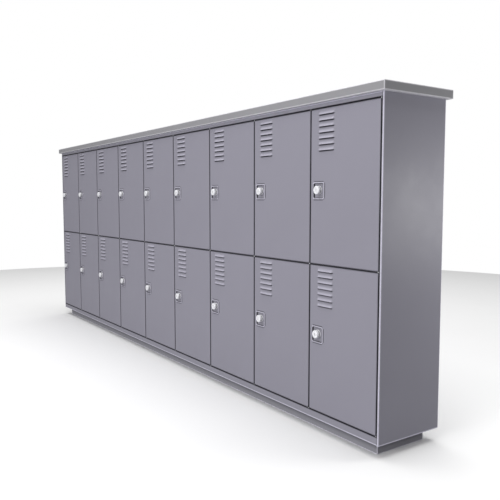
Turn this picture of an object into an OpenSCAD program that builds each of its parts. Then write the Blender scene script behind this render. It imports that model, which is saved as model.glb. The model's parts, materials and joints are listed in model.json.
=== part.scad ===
// Bank of coin operated lockers: nine columns, two rows, one hinged door and coin lock each.
// Origin: middle of the footprint, on the floor. +X runs along the bank, doors face -Y.

/* [Bank] */
// Distance from one column's centre to the next
column_pitch = 400; // [380:5:420]
// Width of the cabinet, without the worktop's overhang
body_w = 3590; // [3584:1:3592]
// Depth of the cabinet, door face to back panel
body_d = 340; // [300:10:500]
// Thickness of the carcass sheet
sheet = 1.2; // [1:0.1:1.5]
// Width of the stile at each end of the bank
end_stile = 8; // [6:0.5:9]

/* [Rows] */
// Height of each lower door
lower_door_h = 607.5; // [600:2.5:700]
// Height of each upper door
upper_door_h = 620.5; // [600:0.5:700]
// Gap around every door
door_gap = 4.5; // [4.5:0.1:5]
// Height of the rail below the doors
bottom_rail = 32; // [15:1:40]
// Height of the rail above the doors
top_rail = 18.5; // [15:0.5:40]

/* [Plinth and worktop] */
// Height of the plinth
plinth_h = 53; // [50:1:80]
// Distance the plinth stands back from the cabinet on every side
plinth_recess = 41; // [30:1:70]
// Thickness of the plinth's sheet
plinth_sheet = 1.5; // [1.2:0.1:3]
// Width of the plinth's folded top and bottom lips
plinth_lip = 22; // [15:1:40]
// Thickness of the worktop
worktop_t = 35; // [25:1:50]
// Overhang of the worktop on every side
worktop_overhang = 18; // [12:1:30]
// Thickness of the worktop's sheet
worktop_sheet = 1.5; // [1.2:0.1:2]
// Width of the worktop's folded bottom lip
worktop_lip = 45; // [30:1:60]

/* [Doors] */
// Depth of a door, face to back
door_t = 16; // [16:0.5:18]
// Thickness of the door sheet
door_sheet = 1; // [0.8:0.1:1.2]
// Width of the lip folded in around a door's back
door_lip = 10; // [8:1:14]
// Width of the stiffening channel down a door's middle
stiffener_w = 40; // [30:1:60]
// Distance of a door's pivot from its hinged edge
pivot_in = 5; // [5:0.1:5.5]
// Distance of a door's pivot behind its face
pivot_back = 7; // [6:0.5:7]
// Diameter of a pivot pin
pin_d = 5; // [4:0.5:5]
// Radial clearance of a pivot pin or spindle in its bore
running_fit = 0.05; // [0.02:0.01:0.09]

/* [Louvres] */
// Number of louvres in a door
louvres = 7; // [1:1:8]
// Distance from one louvre to the next
louvre_pitch = 23.5; // [23:0.5:25]
// Width of a louvre
louvre_w = 93; // [60:1:110]
// Distance from a door's free edge to the middle of its louvres
louvre_u = 92.5; // [80:0.5:100]
// Distance from a door's top edge to its first louvre's lower lip
louvre_drop = 23.5; // [20:0.5:40]
// Height of a louvre's sloping hood
hood_h = 15.5; // [12:0.5:17]
// Distance a hood stands out from the door's face
hood_out = 5; // [3:0.5:6]
// Height of the opening seen below a hood's lip
slot_below = 3; // [2:0.5:6]

/* [Coin lock] */
// Width of the recessed front plate
cup_w = 72; // [64:1:72]
// Height of the recessed front plate
cup_h = 71; // [62:1:72]
// Width of the front plate's rim
cup_rim = 6; // [4:0.5:6]
// Distance the rim stands proud of the door
rim_out = 1.8; // [0.8:0.1:2]
// Depth of the recess below the door's face
cup_depth = 5; // [3:0.5:6]
// Distance from a door's free edge to the lock's middle
lock_u = 48; // [46:0.5:50]
// Distance from a lower door's top edge to the front plate's middle
lower_lock_drop = 286; // [270:1:320]
// Distance from an upper door's top edge to the front plate's middle
upper_lock_drop = 324; // [270:1:340]
// Height of the cylinder above the front plate's middle
cylinder_rise = 2.5; // [0:0.5:4]
// Width of the coin case behind the door
case_w = 90; // [80:1:110]
// Height of the coin case behind the door
case_h = 130; // [125:1:160]
// Depth of the coin case behind the door's sheet
case_d = 40; // [34:1:45]
// Thickness of the coin case's walls
case_wall = 2; // [1.5:0.1:2.5]
// Length of the coin slot
coin_slot_l = 28; // [24:1:30]
// Width of the coin slot
coin_slot_w = 3; // [2.5:0.1:3.5]

/* [Lock cylinder] */
// Diameter of the round front
knob_d = 33; // [28:0.5:34]
// Distance the round front stands out from the door's face
knob_out = 14; // [8:0.5:16]
// Thickness of the round front
knob_t = 12; // [6:0.5:14]
// Diameter of the spindle
spindle_d = 12; // [10:0.5:14]
// Length of the cam from the axis to its tip
cam_l = 45; // [43:0.5:46]
// Width of the cam
cam_w = 16; // [12:1:18]
// Thickness of the cam
cam_t = 3; // [2:0.5:3]

/* [Hidden] */
$fn = 64;
eps = 0.01;
over = 1;
seam = 0.2;
columns = 9;
row_names = ["lower", "upper"];
front_y = -body_d / 2;
back_y = body_d / 2;
body_z = plinth_h;
floor_z = body_z + bottom_rail;
door_h = [lower_door_h, upper_door_h];
door_z = [floor_z + door_gap, floor_z + 2 * door_gap + lower_door_h];
mid_z = door_z[1] - door_gap / 2;
ceiling_z = door_z[1] + upper_door_h + door_gap;
body_top = ceiling_z + top_rail;
inner_w = body_w - 2 * end_stile;
hood_lip = 2;
stop_clear = 2;
frame_y = front_y + door_t + stop_clear;
upright_half = 15;
rail_lip = 12;
mid_lip = 14;
back_t = 1;
pin_r = pin_d / 2;
bore_r = pin_r + running_fit;
block_t = 5;
pin_in = 5.5;
lug_t = 2.4;
lug_half = 4.8;
collar_r = 4;
collar_gap = 0.1;
lock_drop = [lower_lock_drop, upper_lock_drop];
cup_body_r = 7;
cup_wall = 1.5;
rim_r = cup_body_r + 3;
cup_fit = 0.4;
cup_floor = 2;
case_left = 30;
case_below = 88;
case_front_t = 8;
case_r = 3;
return_w = 40;
return_h = 22;
return_rise = 6;
slot_from_edge = 30;
slot_drop = 8;
mid_wall_z = -54;
neck_d = 27;
neck_t = 3;
base_d = 34;
base_lift = 0.2;
knob_chamfer = 1.5;
ring_r = 10;
ring_w = 1;
ring_depth = 0.8;
key_slot_w = 2;
key_slot_l = 11;
key_slot_depth = 5;
spindle_r = spindle_d / 2;
cam_gap = 1.3;
cam_head = 1;
cam_y = frame_y - front_y + sheet + cam_gap;
cam_room = 1.5;
cam_slot_below = cam_l - 6;
cam_slot_above = 10;
nut_t = 5;
nut_r = 9;

// Each door's node, its coin lock's and its cylinder's, column by column from the left
DOORS = [for (c = [1:columns], r = [0, 1]) str("door_", row_names[r], "_", c)];
LOCKS = [for (c = [1:columns], r = [0, 1]) str("coin_lock_", row_names[r], "_", c)];
CYLINDERS = [for (c = [1:columns], r = [0, 1]) str("lock_cylinder_", row_names[r], "_", c)];
CARCASS = ["worktop", "plinth", "casing", "partitions", "front_frame", "door_pivots"];

// Middle of the partition on the right of column c, and both ends of the bank for 0 and columns
function line_x(c) = (c - columns / 2) * column_pitch;
function door_left(c) = c == 1 ? -inner_w / 2 + door_gap : line_x(c - 1) + door_gap / 2;
function door_right(c) = c == columns ? inner_w / 2 - door_gap : line_x(c) - door_gap / 2;
function door_w(c) = door_right(c) - door_left(c);
function pivot_x(c) = door_right(c) - pivot_in;
function bay_left(c) = c == 1 ? -inner_w / 2 : line_x(c - 1) + sheet / 2;
function bay_right(c) = c == columns ? inner_w / 2 : line_x(c) - sheet / 2;
function upright_left(c) = c == 0 ? seam - inner_w / 2 : line_x(c) - upright_half;
function upright_right(c) =
    c == columns ? inner_w / 2 - seam : c == 0 ? door_left(1) + upright_half - door_gap / 2
    : line_x(c) + upright_half;

module rounded_rect(w, h, r) {
    square([w - 2 * r, h], center = true);
    square([w, h - 2 * r], center = true);
    for (x = [-1, 1], y = [-1, 1])
        translate([x * (w / 2 - r), y * (h / 2 - r)])
            circle(r);
}

// A plate in the X-Z plane from depth y0 to y1, drawn from the front
module plate(y0, y1) {
    translate([0, y1, 0])
        rotate([90, 0, 0])
            linear_extrude(y1 - y0)
                children();
}

// A round bar along +Y from depth y0 to y1
module bar_y(r, y0, y1) {
    translate([0, y0, 0])
        rotate([-90, 0, 0])
            cylinder(r = r, h = y1 - y0);
}

// A folded sheet box section, open at both ends along X
module box_section(x0, x1, y0, y1, z0, z1, t) {
    difference() {
        translate([x0, y0, z0])
            cube([x1 - x0, y1 - y0, z1 - z0]);
        translate([x0 - over, y0 + t, z0 + t])
            cube([x1 - x0 + 2 * over, y1 - y0 - 2 * t, z1 - z0 - 2 * t]);
    }
}

// Plan of a board with 45 degree ends, its long edge on the X axis, run past both edges for cutting
module mitred(half, depth) {
    polygon([[-half - over, -over], [half + over, -over],
             [half - depth - over, depth + over], [-half + depth + over, depth + over]]);
}

// A folded channel along X, its back towards -Y
module channel_x(x0, x1, y0, depth, z0, z1, t) {
    difference() {
        translate([x0, y0, z0])
            cube([x1 - x0, depth, z1 - z0]);
        translate([x0 - over, y0 + t, z0 + t])
            cube([x1 - x0 + 2 * over, depth, z1 - z0 - 2 * t]);
    }
}

// Steel pan with its rim folded down and in, resting on the cabinet
module worktop() {
    w = body_w + 2 * worktop_overhang;
    d = body_d + 2 * worktop_overhang;
    color("#a0a2a2")
    translate([0, 0, body_top])
    difference() {
        translate([-w / 2, -d / 2, 0])
            cube([w, d, worktop_t]);
        translate([-w / 2 + worktop_sheet, -d / 2 + worktop_sheet, worktop_sheet])
            cube([w - 2 * worktop_sheet, d - 2 * worktop_sheet, worktop_t - 2 * worktop_sheet]);
        translate([-w / 2 + worktop_lip, -d / 2 + worktop_lip, -over])
            cube([w - 2 * worktop_lip, d - 2 * worktop_lip, worktop_sheet + 2 * over]);
    }
}

// Four folded kickboards under the cabinet, mitred at the corners
module plinth() {
    half_w = body_w / 2 - plinth_recess;
    half_d = body_d / 2 - plinth_recess;
    color("#8c8c92")
        for (side = [0:3]) {
            half = side % 2 == 0 ? half_w : half_d;
            out = side % 2 == 0 ? half_d : half_w;
            rotate([0, 0, 90 * side])
                intersection() {
                    channel_x(-half, half, -out, plinth_lip, 0, plinth_h, plinth_sheet);
                    translate([0, -out, -over])
                        linear_extrude(plinth_h + 2 * over)
                            mitred(half - seam / 2, plinth_lip);
                }
        }
}

// Double skinned ends, floor and top, and the back panel
module casing() {
    color("#8f8d99") {
        for (side = [-1, 1])
            translate([side * (body_w / 2 - end_stile / 2), 0, body_z])
                difference() {
                    translate([-end_stile / 2, front_y, 0])
                        cube([end_stile, body_d, body_top - body_z]);
                    translate([-end_stile / 2 + sheet, front_y + sheet, -over])
                        cube([end_stile - 2 * sheet, body_d - 2 * sheet, body_top - body_z + 2 * over]);
                }
        for (z = [[body_z, floor_z], [ceiling_z, body_top]])
            box_section(seam - inner_w / 2, inner_w / 2 - seam, front_y, back_y, z[0], z[1], sheet);
        translate([seam - inner_w / 2, back_y - back_t, floor_z + seam])
            cube([inner_w - 2 * seam, back_t, ceiling_z - floor_z - 2 * seam]);
    }
}

// Upright sheets between the columns, and the shelf sheets between the rows
module partitions() {
    y0 = frame_y + sheet + seam;
    depth = back_y - back_t - seam - y0;
    color("#8a8894") {
        for (c = [1:columns - 1])
            translate([line_x(c) - sheet / 2, y0, floor_z + seam])
                cube([sheet, depth, ceiling_z - floor_z - 2 * seam]);
        for (c = [1:columns])
            translate([bay_left(c) + seam, y0, mid_z - sheet / 2])
                cube([bay_right(c) - bay_left(c) - 2 * seam, depth, sheet]);
    }
}

// Flat frame that the doors close over: uprights, and the rails between them
module front_frame() {
    rails = [[floor_z + seam, floor_z + rail_lip], [mid_z - mid_lip, mid_z + mid_lip],
             [ceiling_z - rail_lip, ceiling_z - seam]];
    color("#807e8a") {
        for (c = [0:columns])
            translate([upright_left(c), frame_y, floor_z + seam])
                cube([upright_right(c) - upright_left(c), sheet, ceiling_z - floor_z - 2 * seam]);
        for (c = [1:columns], rail = rails)
            translate([upright_right(c - 1) + seam, frame_y, rail[0]])
                cube([upright_left(c) - upright_right(c - 1) - 2 * seam, sheet, rail[1] - rail[0]]);
    }
}

// Pins that the doors turn on: one on the floor, one under the top, and a lug between the rows
module door_pivots() {
    y = front_y + pivot_back;
    color("#b4b4b8")
    for (c = [1:columns])
        translate([pivot_x(c), y, 0]) {
            translate([0, 0, floor_z]) {
                cylinder(r = collar_r, h = door_gap - collar_gap);
                cylinder(r = pin_r, h = door_gap + pin_in);
            }
            translate([0, 0, ceiling_z - door_gap - pin_in])
                cylinder(r = pin_r, h = door_gap + pin_in);
            translate([0, 0, mid_z - lug_t / 2]) {
                cylinder(r = lug_half, h = lug_t);
                translate([-lug_half, 0, 0])
                    cube([2 * lug_half, frame_y - y, lug_t]);
            }
            translate([0, 0, mid_z])
                cylinder(r = collar_r, h = door_gap / 2 - collar_gap);
            translate([0, 0, mid_z - door_gap / 2 - pin_in])
                cylinder(r = pin_r, h = door_gap + 2 * pin_in);
        }
}

// The solid of one hood at lip height v, or its hollow when inset by the sheet
module hood(v, inset) {
    out = hood_out - inset;
    wide = louvre_w - 2 * inset;
    translate([louvre_u - wide / 2, 0, v])
        rotate([90, 0, 90])
            linear_extrude(wide)
                polygon([[door_sheet / 2, hood_h - 2 * inset], [-out, hood_lip], [-out, -eps * inset],
                         [door_sheet / 2, -eps * inset]]);
}

// Door from its lower free corner: folded pan, louvres, stiffener and hinge blocks
module door(c, r) {
    w = door_w(c);
    h = door_h[r];
    s = door_sheet;
    lips = [for (i = [0:louvres - 1]) h - louvre_drop - i * louvre_pitch];
    lock_v = h - lock_drop[r];
    stiffener_d = door_t - 3 * s;
    color("#94929e")
    translate([door_left(c), front_y, door_z[r]])
    difference() {
        union() {
            difference() {
                cube([w, door_t, h]);
                translate([s, s, s])
                    cube([w - 2 * s, door_t - 2 * s, h - 2 * s]);
                translate([door_lip, s, door_lip])
                    cube([w - 2 * door_lip, door_t, h - 2 * door_lip]);
            }
            for (v = lips)
                hood(v, 0);
            for (v = [s, h - s - block_t])
                translate([w - s - 2 * pivot_in, s, v])
                    cube([2 * pivot_in, door_t - 2 * s, block_t]);
            translate([(w - stiffener_w) / 2, s, 2 * door_lip])
                difference() {
                    cube([stiffener_w, stiffener_d, h - 4 * door_lip]);
                    translate([s, -over, -over])
                        cube([stiffener_w - 2 * s, stiffener_d - s + over, h]);
                }
        }
        for (v = lips) {
            hood(v, s);
            translate([louvre_u - louvre_w / 2 + s, -eps, v - slot_below])
                cube([louvre_w - 2 * s, s + 2 * eps, slot_below + hood_h - 3 * s]);
            translate([louvre_u - louvre_w / 2 + s, -hood_out - over, v - slot_below])
                cube([louvre_w - 2 * s, hood_out + over, slot_below + eps]);
        }
        translate([lock_u, 0, lock_v])
            plate(-over, s + over)
                rounded_rect(cup_w - 2 * cup_rim + 2 * cup_fit, cup_h - 2 * cup_rim + 2 * cup_fit,
                             cup_body_r + cup_fit);
        for (z = [-over, h - s - block_t - over])
            translate([w - pivot_in, pivot_back, z])
                cylinder(r = bore_r, h = s + block_t + 2 * over);
    }
}

// Recessed front plate set through the door, and the coin case screwed behind it
module coin_lock(c, r) {
    body_back = cup_depth + cup_floor;
    plate_w = cup_w - 2 * cup_rim;
    plate_h = cup_h - 2 * cup_rim;
    case_v = cylinder_rise - case_below;
    case_u = case_w / 2 - case_left;
    back = door_sheet + case_d;
    cavity_front = door_sheet + case_front_t;
    bore = spindle_r + running_fit;
    color("#6f6f78")
    translate([door_left(c) + lock_u, front_y, door_z[r] + door_h[r] - lock_drop[r]]) {
        difference() {
            union() {
                plate(-rim_out, 0)
                    rounded_rect(cup_w, cup_h, rim_r);
                plate(-rim_out / 2, body_back)
                    rounded_rect(plate_w, plate_h, cup_body_r);
            }
            plate(-rim_out - over, cup_depth)
                rounded_rect(plate_w - 2 * cup_wall, plate_h - 2 * cup_wall, cup_body_r - cup_wall);
            translate([0, 0, cylinder_rise])
                bar_y(bore, cup_depth - over, body_back + over);
        }
        difference() {
            translate([case_u, 0, case_v + case_h / 2])
                plate(door_sheet, back)
                    rounded_rect(case_w, case_h, case_r);
            plate(0, body_back + seam)
                rounded_rect(plate_w + cup_fit, plate_h + cup_fit, cup_body_r + cup_fit / 2);
            translate([-case_left + case_wall, cavity_front, cylinder_rise + mid_wall_z + case_wall])
                cube([case_w - 2 * case_wall, case_d - case_front_t - case_wall,
                      case_h - case_below - mid_wall_z - 2 * case_wall]);
            translate([0, 0, cylinder_rise])
                bar_y(bore, body_back - over, cavity_front + over);
            translate([-case_left - over, cam_y - cam_room, cylinder_rise - cam_slot_below])
                cube([case_wall + 2 * over, cam_t + 2 * cam_room, cam_slot_below + cam_slot_above]);
            translate([case_w - case_left - slot_from_edge, back - case_wall - over,
                       cylinder_rise - slot_drop])
                cube([coin_slot_w, case_wall + 2 * over, coin_slot_l]);
            translate([case_u - return_w / 2, back - return_h, case_v + return_rise])
                cube([return_w, return_h + over, return_h]);
        }
    }
}

// Round front with its key slot, spindle, cam and nut: they turn as one
module lock_cylinder(c, r) {
    neck_y = knob_t - knob_out;
    nut_y = cam_y + cam_t;
    color("#e4e4ea")
    translate([door_left(c) + lock_u, front_y,
               door_z[r] + door_h[r] - lock_drop[r] + cylinder_rise])
    difference() {
        union() {
            translate([0, -knob_out, 0])
                rotate([-90, 0, 0])
                    cylinder(r1 = knob_d / 2 - knob_chamfer, r2 = knob_d / 2, h = knob_chamfer);
            bar_y(knob_d / 2, knob_chamfer - knob_out, neck_y);
            bar_y(neck_d / 2, neck_y, neck_y + neck_t);
            bar_y(base_d / 2, neck_y + neck_t, cup_depth - base_lift);
            bar_y(spindle_r, 0, nut_y + nut_t / 2);
            bar_y(cam_w / 2 + cam_head, cam_y, nut_y);
            translate([-cam_w / 2, cam_y, -cam_l])
                cube([cam_w, cam_t, cam_l]);
            translate([0, nut_y, 0])
                rotate([-90, 0, 0])
                    cylinder(r = nut_r, h = nut_t, $fn = 6);
        }
        translate([0, -knob_out, 0]) {
            difference() {
                bar_y(ring_r + ring_w / 2, -over, ring_depth);
                bar_y(ring_r - ring_w / 2, -2 * over, 2 * over);
            }
            translate([-key_slot_w / 2, -over, -key_slot_l / 2])
                cube([key_slot_w, key_slot_depth + over, key_slot_l]);
        }
    }
}

worktop();
plinth();
casing();
partitions();
front_frame();
door_pivots();
for (c = [1:columns], r = [0, 1]) {
    i = 2 * (c - 1) + r;
    door(c, r);
    coin_lock(c, r);
    lock_cylinder(c, r);
}
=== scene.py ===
import json
import math

import bmesh
import bpy
from mathutils import Matrix, Vector


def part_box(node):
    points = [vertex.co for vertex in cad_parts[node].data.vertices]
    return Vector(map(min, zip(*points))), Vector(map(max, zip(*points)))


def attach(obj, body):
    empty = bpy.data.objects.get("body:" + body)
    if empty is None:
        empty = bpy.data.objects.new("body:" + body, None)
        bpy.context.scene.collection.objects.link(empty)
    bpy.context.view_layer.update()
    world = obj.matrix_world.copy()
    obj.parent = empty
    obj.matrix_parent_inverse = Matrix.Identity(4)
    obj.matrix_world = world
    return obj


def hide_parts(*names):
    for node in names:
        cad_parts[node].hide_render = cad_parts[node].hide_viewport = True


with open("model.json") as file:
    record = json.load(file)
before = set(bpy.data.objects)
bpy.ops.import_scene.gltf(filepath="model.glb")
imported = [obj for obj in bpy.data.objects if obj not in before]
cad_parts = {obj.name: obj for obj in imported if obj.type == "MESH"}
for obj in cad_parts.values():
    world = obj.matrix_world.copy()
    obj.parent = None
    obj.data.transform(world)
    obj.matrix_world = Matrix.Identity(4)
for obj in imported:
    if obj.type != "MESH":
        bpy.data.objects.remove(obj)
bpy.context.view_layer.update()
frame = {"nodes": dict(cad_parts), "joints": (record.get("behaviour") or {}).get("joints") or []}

MM = 0.001
# The wear attribute: above 0 the sheet is paler, on folds partly worn film and partly a painted highlight;
# below 0 it holds painted shade in gaps, crevices and under overhangs.
WEAR_AND_LIGHT = "wear"

# What the frame settles: where the doors' face lies, and each joint's place
JOINTS = {joint["name"]: joint for joint in frame["joints"]}
TAGS = [f"{row}_{column}" for column in range(1, 10) for row in ("lower", "upper")]
CASING_LOW, CASING_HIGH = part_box("casing")
PLINTH_LOW, PLINTH_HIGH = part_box("plinth")
TOP_LOW, TOP_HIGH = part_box("worktop")
FACE_Y = CASING_LOW.y
HOOD_OUT = FACE_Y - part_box("door_upper_5")[0].y
PLATE_OUT = FACE_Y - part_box("coin_lock_upper_5")[0].y
KNOB_OUT = FACE_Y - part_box("lock_cylinder_upper_5")[0].y

# Sheet metal. FADE is how far a fold's paler tone, partly worn film and partly a painted highlight, runs on
# over the flat sheet
FADE = 2.5 * MM
SHEET = 1.2 * MM
SEAM = 0.2 * MM
ARC_STEPS = 5
MERGE = 0.005 * MM
TINY = 1e-6
END_STILE = 8 * MM
END_FOLD = 2 * MM
END_INNER_FOLD = 1.2 * MM
# A painted highlight along the bottom edge of the ends, and how far it fades
FOOT_PAINTED_HIGHLIGHT = 3 * MM
FOOT_FADE = 2 * MM
FLOOR_BOX_H = 32 * MM
FLOOR_BOX_FOLD = 5 * MM
TOP_BOX_H = 18.5 * MM
BOX_FOLD = 2 * MM
PLINTH_SHEET = 1.5 * MM
PLINTH_LIP = 22 * MM
PLINTH_FOLD = 2 * MM
# A painted highlight at each kickboard's ends, down the plinth's corners
PLINTH_END_PAINTED_HIGHLIGHT = 4 * MM
WORKTOP_SHEET = 1.5 * MM
WORKTOP_LIP = 45 * MM
WORKTOP_FOLD = 2.5 * MM
BACK_SHEET = 0.5 * MM
BACK_FOLD = 0.4 * MM
BACK_JOINT_DEPTH = 0.7 * MM
RIVET_ROWS = 13
RIVET_ASIDE = 12 * MM

# Distance from a fold and the painted shade on the sheet there: beside a gap, and the painted shadow under
# the cabinet's overhang
GAP_PAINTED_SHADE = ((11 * MM, 0.0), (7 * MM, -0.8), (2 * MM, -1.0))
PLINTH_PAINTED_SHADOW = ((36 * MM, 0.0), (22 * MM, -0.45), (6 * MM, -1.0))

# Doors
DOOR_SHEET = 0.95 * MM
DOOR_DEPTH = 16 * MM
DOOR_FOLD = 1.6 * MM
DOOR_LIP = 10 * MM
DOOR_FADE = 3.5 * MM
# Painted shade round each door's face rim, on its front fold and down its side in the gap
DOOR_RIM_PAINTED_SHADE = -0.5
DOOR_FOLD_PAINTED_SHADE = (-0.7, -1.0, -1.0)
DOOR_SIDE_PAINTED_SHADE = ((3.5 * MM, -1.0), (8 * MM, -0.7), (11 * MM, 0.0))
STIFFENER_W = 40 * MM
STIFFENER_DEPTH = 14 * MM
PIVOT_IN = 5 * MM
PIVOT_BACK = 7 * MM
PIVOT_BORE = 2.55 * MM
BLOCK_T = 5 * MM
BLOCK_HALF = 4.9 * MM
BLOCK_FRONT = 1.2 * MM
BLOCK_BACK = 14.8 * MM
BLOCK_GAP = 0.1 * MM

# Louvres, with the share of a hood's full stand-out at shares of its height above the lip
LOUVRES = 7
LOUVRE_PITCH = 23.5 * MM
LOUVRE_MIDDLE = 92.5 * MM
LOUVRE_W = 93 * MM
LOUVRE_DROP = 23.5 * MM
HOOD_H = 15.5 * MM
HOOD_TAPER = 8 * MM
HOOD_CURVE = ((0.0, 1.0), (0.1, 0.985), (0.25, 0.86), (0.45, 0.58), (0.65, 0.28), (0.83, 0.07), (1.0, 0.0))
TAPER_SHARES = (0.0, 0.15, 0.35, 0.55, 0.75, 1.0)
SLOT_BELOW = 3 * MM
LOUVRE_SHADE = 4 * MM
# Painted shadow on the sheet under each slot, and a painted highlight up each hood's slope
LOUVRE_PAINTED_SHADOW = -0.8
HOOD_PAINTED_HIGHLIGHT = 0.45

# Coin lock, about the middle of its front plate
PLATE_W = 72 * MM
PLATE_H = 71 * MM
PLATE_RIM = 6 * MM
PLATE_CORNER = 10 * MM
PLATE_FOOT = 4.5 * MM
PLATE_HOLE_GAP = 0.5 * MM
RECESS_CORNER = 7 * MM
RECESS_DEPTH = 5 * MM
PLATE_BACK = 7 * MM
CYLINDER_RISE = 2.5 * MM
CASE_LOW = Vector((-30, 1, -85.5)) * MM
CASE_HIGH = Vector((60, 41, 44.5)) * MM
CASE_FOLD = 3 * MM
CASE_WALL = 2 * MM
SCREW_IN = 7 * MM
CAM_SLOT = (Vector((-31, 19, -36.5)) * MM, Vector((-27, 25, 12.5)) * MM)
CUP_LOW = Vector((-5, 19, -79.5)) * MM
CUP_HIGH = Vector((35, 41, -57.5)) * MM
COIN_SLOT = Vector((31.5, 41, 8.5)) * MM
COIN_SLOT_W = 3 * MM
COIN_SLOT_L = 28 * MM

# Lock cylinder, about its own axis. Its round front is given in mm as (radius, depth behind the front), its
# edge, neck and base as (radius, depth behind the door's face), and its nut's back as (radius, depth in it)
KNOB_FRONT = ((7.2, 0.0), (9.4, 0.0), (9.6, 0.25), (9.7, 0.8), (10.3, 0.8), (10.4, 0.25), (10.6, 0.0),
              (14.9, 0.0), (15.7, 0.35), (16.3, 0.9), (16.5, 1.5))
KNOB_EDGE = ((16.5, -3.6), (16.1, -3.2))
KNOB_NECK = ((16.1, -3.2), (13.0, -3.2), (13.1, 1.0))
KNOB_BASE = ((13.1, 1.0), (16.6, 1.0), (17.0, 1.4), (17.0, 4.8))
BASE_R = 17 * MM
BASE_BACK = 4.8 * MM
KEY_SLOT_HALF_W = 1 * MM
KEY_SLOT_HALF_H = 5.5 * MM
KEY_SLOT_DEPTH = 5 * MM
KEY_SLOT_FLARE = 0.2 * MM
KEY_SLOT_LIP = 0.3 * MM
SPINDLE_R = 6 * MM
CAM_FRONT = 20.5 * MM
CAM_BACK = 23.5 * MM
CAM_L = 45 * MM
CAM_HALF = 8 * MM
NUT_R = 9 * MM
NUT_T = 5 * MM
NUT_BACK = ((7.6, 0), (5.9, 0), (5.6, 0.5), (5.2, 0.3))

# Turned shapes as (radius, rise) in mm: a screw head and a rivet over their sheet
SCREW_PROFILE = ((3.6, -0.1), (3.6, 0.7), (3.2, 1.4), (2.2, 1.9), (1.6, 2.0))
SCREW_SOCKET_R = 1.5
SCREW_SOCKET = (1.9, 0.7)
RIVET_PROFILE = ((3.2, -0.1), (3.1, 0.35), (2.3, 0.9), (1.1, 1.2))
RIVET_WEARS = (0.2, 0.5, 0.8, 0.8)

# Studio: the camera's place from the cabinet's near corner and its turn in degrees, and the softboxes as
# (name, place, target, width, watts)
CAMERA_PLACE = (1.528, -1.629, 0.9616)
CAMERA_TURN = (85.30, 0, 55.36)
CAMERA_LENS = 43.95
CAMERA_SENSOR = 36
FLOOR_RADII = (5.5, 3.0, 0.5)
SKY_LIGHT = 0.25
SOFTBOXES = (("ceiling", (0, 0, 6.5), (0, 0, 0), 8.0, 510),
             ("front", (2.0, -6.5, 1.8), (0.6, 0, 0.7), 3.0, 185),
             ("left", (-3.0, -5.0, 3.5), (-0.8, 0, 0.8), 3.0, 18),
             ("corner", (1.6, -2.2, 2.6), (1.3, -0.17, 1.1), 0.8, 8),
             ("end_panel", (2.45, 0.85, 0.92), (1.8, 0.12, 0.86), 0.5, 4.4))


# ---------------------------------------------------------------- mesh tools

def new_mesh():
    bm = bmesh.new()
    bm.verts.layers.float.new(WEAR_AND_LIGHT)
    return bm


def add_ring(bm, points, wear_and_light_values=None):
    layer = bm.verts.layers.float[WEAR_AND_LIGHT]
    ring = []
    for i, point in enumerate(points):
        vert = bm.verts.new(point)
        vert[layer] = wear_and_light_values[i] if wear_and_light_values else 0.0
        ring.append(vert)
    return ring


def bridge(bm, near, far, slot=0, closed=True):
    """Quads from each vertex of near to its partner in far.

    They face out when near runs anticlockwise, seen from the front, and far lies behind it."""
    count = len(near)
    for i in range(count if closed else count - 1):
        j = (i + 1) % count
        bm.faces.new((near[i], far[i], far[j], near[j])).material_index = slot


def copy_into(bm, part, slot=0):
    """Adds a finished part's faces to bm, and frees the part."""
    source = part.verts.layers.float[WEAR_AND_LIGHT]
    target = bm.verts.layers.float[WEAR_AND_LIGHT]
    part.verts.index_update()
    made = []
    for vert in part.verts:
        new = bm.verts.new(vert.co)
        new[target] = vert[source]
        made.append(new)
    for face in part.faces:
        bm.faces.new([made[v.index] for v in face.verts]).material_index = slot
    part.free()


def thicken(bm, thickness):
    """The surface as a sheet of that thickness, which goes inwards from the side that faces out."""
    bmesh.ops.remove_doubles(bm, verts=bm.verts[:], dist=MERGE)
    mesh = bpy.data.meshes.new("surface")
    bm.to_mesh(mesh)
    bm.free()
    holder = bpy.data.objects.new("surface", mesh)
    bpy.context.scene.collection.objects.link(holder)
    sheet = holder.modifiers.new("sheet", "SOLIDIFY")
    sheet.thickness = thickness
    sheet.offset = -1
    sheet.use_even_offset = True
    bpy.context.view_layer.update()
    solid = holder.evaluated_get(bpy.context.evaluated_depsgraph_get())
    result = bmesh.new()
    result.from_mesh(solid.to_mesh())
    bpy.data.objects.remove(holder)
    bpy.data.meshes.remove(mesh)
    return result


def make_mesh(bm, name, materials, sharp=35):
    """A mesh with smooth shading and its sharp edges kept."""
    mesh = bpy.data.meshes.new(name)
    bm.to_mesh(mesh)
    bm.free()
    for material in materials:
        mesh.materials.append(material)
    mesh.shade_smooth()
    mesh.set_sharp_from_angle(angle=math.radians(sharp))
    return mesh


def add_piece(mesh, name, body, node, place=(0, 0, 0)):
    """A piece that stands for a CAD node and rides on its body."""
    piece = bpy.data.objects.new(name, mesh)
    bpy.context.scene.collection.objects.link(piece)
    piece.location = place
    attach(piece, body)
    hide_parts(node)
    return piece


def smooth_step(x):
    x = min(max(x, 0.0), 1.0)
    return x * x * (3 - 2 * x)


def lines(values):
    """Sorted grid positions, with near doubles left out."""
    kept = []
    for value in sorted(values):
        if not kept or value - kept[-1] > 0.05 * MM:
            kept.append(value)
    return kept


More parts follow.
